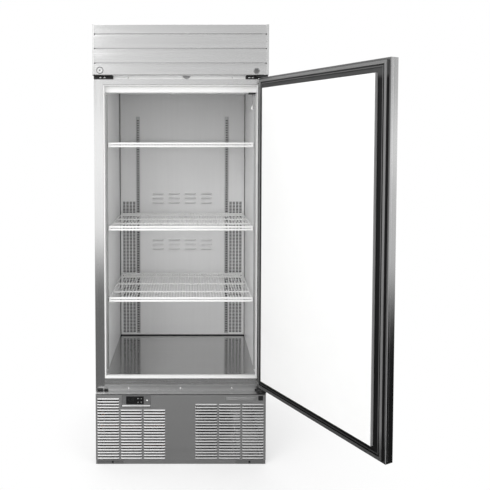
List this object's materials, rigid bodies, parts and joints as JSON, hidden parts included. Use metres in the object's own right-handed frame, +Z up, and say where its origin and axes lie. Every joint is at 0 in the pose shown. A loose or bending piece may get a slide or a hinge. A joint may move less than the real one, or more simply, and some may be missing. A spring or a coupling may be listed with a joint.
{
  "type": "reach in refrigerator",
  "caption": "Upright one-section reach-in refrigerator: stainless cabinet, hinged solid door, wire shelves, louvred base with condensing unit and temperature controller.",
  "frame": {"origin": "centre of the base's underside, on the floor", "axes": "+Z up, -Y out of the cabinet's front, +X to the right seen from the front"},
  "size_m": [1.1102, 1.3804, 1.93],
  "materials": {
    "stainless": "satin brushed stainless steel",
    "galvanised": "plain galvanised sheet",
    "lining": "satin clear-coated aluminium",
    "coil_fins": "bare fin stock",
    "polished_floor": "polished stainless steel",
    "grille_grey": "satin grey",
    "white_plastic": "smooth white plastic",
    "white_wire": "white epoxy coat over steel wire",
    "black_plastic": "matte black",
    "black_metal": "black powder coat",
    "gasket_rubber": "matte black with grey sheen",
    "grey_plastic": "matte grey",
    "display_window": "gloss black window",
    "lock_chrome": "polished",
    "copper_pipe": "drawn copper tube",
    "foam": "rigid foam, matte"
  },
  "bodies": {
    "cabinet": {"side_panel_left": "stainless", "side_panel_right": "stainless", "face_rail_top": "stainless", "face_rail_bottom": "stainless", "ledge_plate": "stainless", "pilaster_front_left": "stainless", "pilaster_front_right": "stainless", "pilaster_rear_left": "stainless", "pilaster_rear_right": "stainless", "header_panel": "stainless", "header_cap_left": "stainless", "header_cap_right": "stainless", "top_panel": "galvanised", "rear_panel": "galvanised", "rear_grille": "galvanised", "inner_liner": "lining", "duct_panel": "lining", "evaporator_cover": "lining", "evaporator_coil": "coil_fins", "condenser_coil": "coil_fins", "floor_plate": "polished_floor", "grille_panel": "grille_grey", "base_pan": "grille_grey", "breaker_strip": "white_plastic", "light_fixture": "white_plastic", "temperature_probe": "white_plastic", "door_sensor": "black_plastic", "power_inlet": "black_plastic", "condensate_pan": "black_plastic", "hinge_bracket_top": "black_metal", "hinge_bracket_bottom": "black_metal", "evaporator_fan_motor": "black_metal", "condenser_fan_shroud": "black_metal", "condenser_fan_motor": "black_metal", "compressor": "black_metal", "controller_bezel": "grey_plastic", "electrical_box": "grey_plastic", "controller_display": "display_window", "discharge_line": "copper_pipe", "suction_line": "copper_pipe", "foam_insulation": "foam"},
    "door": {"door_pan": "stainless", "door_foam": "foam", "door_trim_frame": "black_plastic", "door_inner_liner": "white_plastic", "door_gasket": "gasket_rubber", "door_handle": "stainless", "door_bushing_top": "grey_plastic", "door_bushing_bottom": "grey_plastic"},
    "lock": {"lock_cylinder": "lock_chrome", "lock_cam": "black_metal"},
    "condenser_fan": {"condenser_fan_blade": "coil_fins"},
    "evaporator_fan": {"evaporator_fan_blade": "black_plastic"},
    "shelf_top": {"shelf_top": "white_wire"},
    "shelf_middle": {"shelf_middle": "white_wire"},
    "shelf_bottom": {"shelf_bottom": "white_wire"},
    "key_set": {"controller_key_set": "grey_plastic"},
    "key_down": {"controller_key_down": "grey_plastic"},
    "key_power": {"controller_key_power": "grey_plastic"},
    "key_up": {"controller_key_up": "grey_plastic"}
  },
  "joints": [
    {"name": "door_hinge", "type": "hinge", "parent": "cabinet", "child": "door", "pos_m": [0.365, -0.3498, 1.02], "axis": [0, 0, 1], "range_deg": [-118, 0]},
    {"name": "lock_turn", "type": "hinge", "parent": "cabinet", "child": "lock", "pos_m": [-0.3472, -0.36, 1.7337], "axis": [0, 1, 0], "range_deg": [0, 90]},
    {"name": "condenser_fan_spin", "type": "hinge", "parent": "cabinet", "child": "condenser_fan", "pos_m": [-0.2025, -0.24, 0.158], "axis": [0, 1, 0], "continuous": true},
    {"name": "evaporator_fan_spin", "type": "hinge", "parent": "cabinet", "child": "evaporator_fan", "pos_m": [0, -0.12, 1.712], "axis": [0, 0, 1], "continuous": true},
    {"name": "shelf_top_lift", "type": "slide", "parent": "cabinet", "child": "shelf_top", "axis": [0, 0, 1], "range_m": [0, 0.012]},
    {"name": "shelf_middle_lift", "type": "slide", "parent": "cabinet", "child": "shelf_middle", "axis": [0, 0, 1], "range_m": [0, 0.012]},
    {"name": "shelf_bottom_lift", "type": "slide", "parent": "cabinet", "child": "shelf_bottom", "axis": [0, 0, 1], "range_m": [0, 0.012]},
    {"name": "key_set_push", "type": "slide", "parent": "cabinet", "child": "key_set", "axis": [0, 1, 0], "range_m": [0, 0.0008], "stiffness_N_per_m": 600},
    {"name": "key_down_push", "type": "slide", "parent": "cabinet", "child": "key_down", "axis": [0, 1, 0], "range_m": [0, 0.0008], "stiffness_N_per_m": 600},
    {"name": "key_power_push", "type": "slide", "parent": "cabinet", "child": "key_power", "axis": [0, 1, 0], "range_m": [0, 0.0008], "stiffness_N_per_m": 600},
    {"name": "key_up_push", "type": "slide", "parent": "cabinet", "child": "key_up", "axis": [0, 1, 0], "range_m": [0, 0.0008], "stiffness_N_per_m": 600}
  ]
}
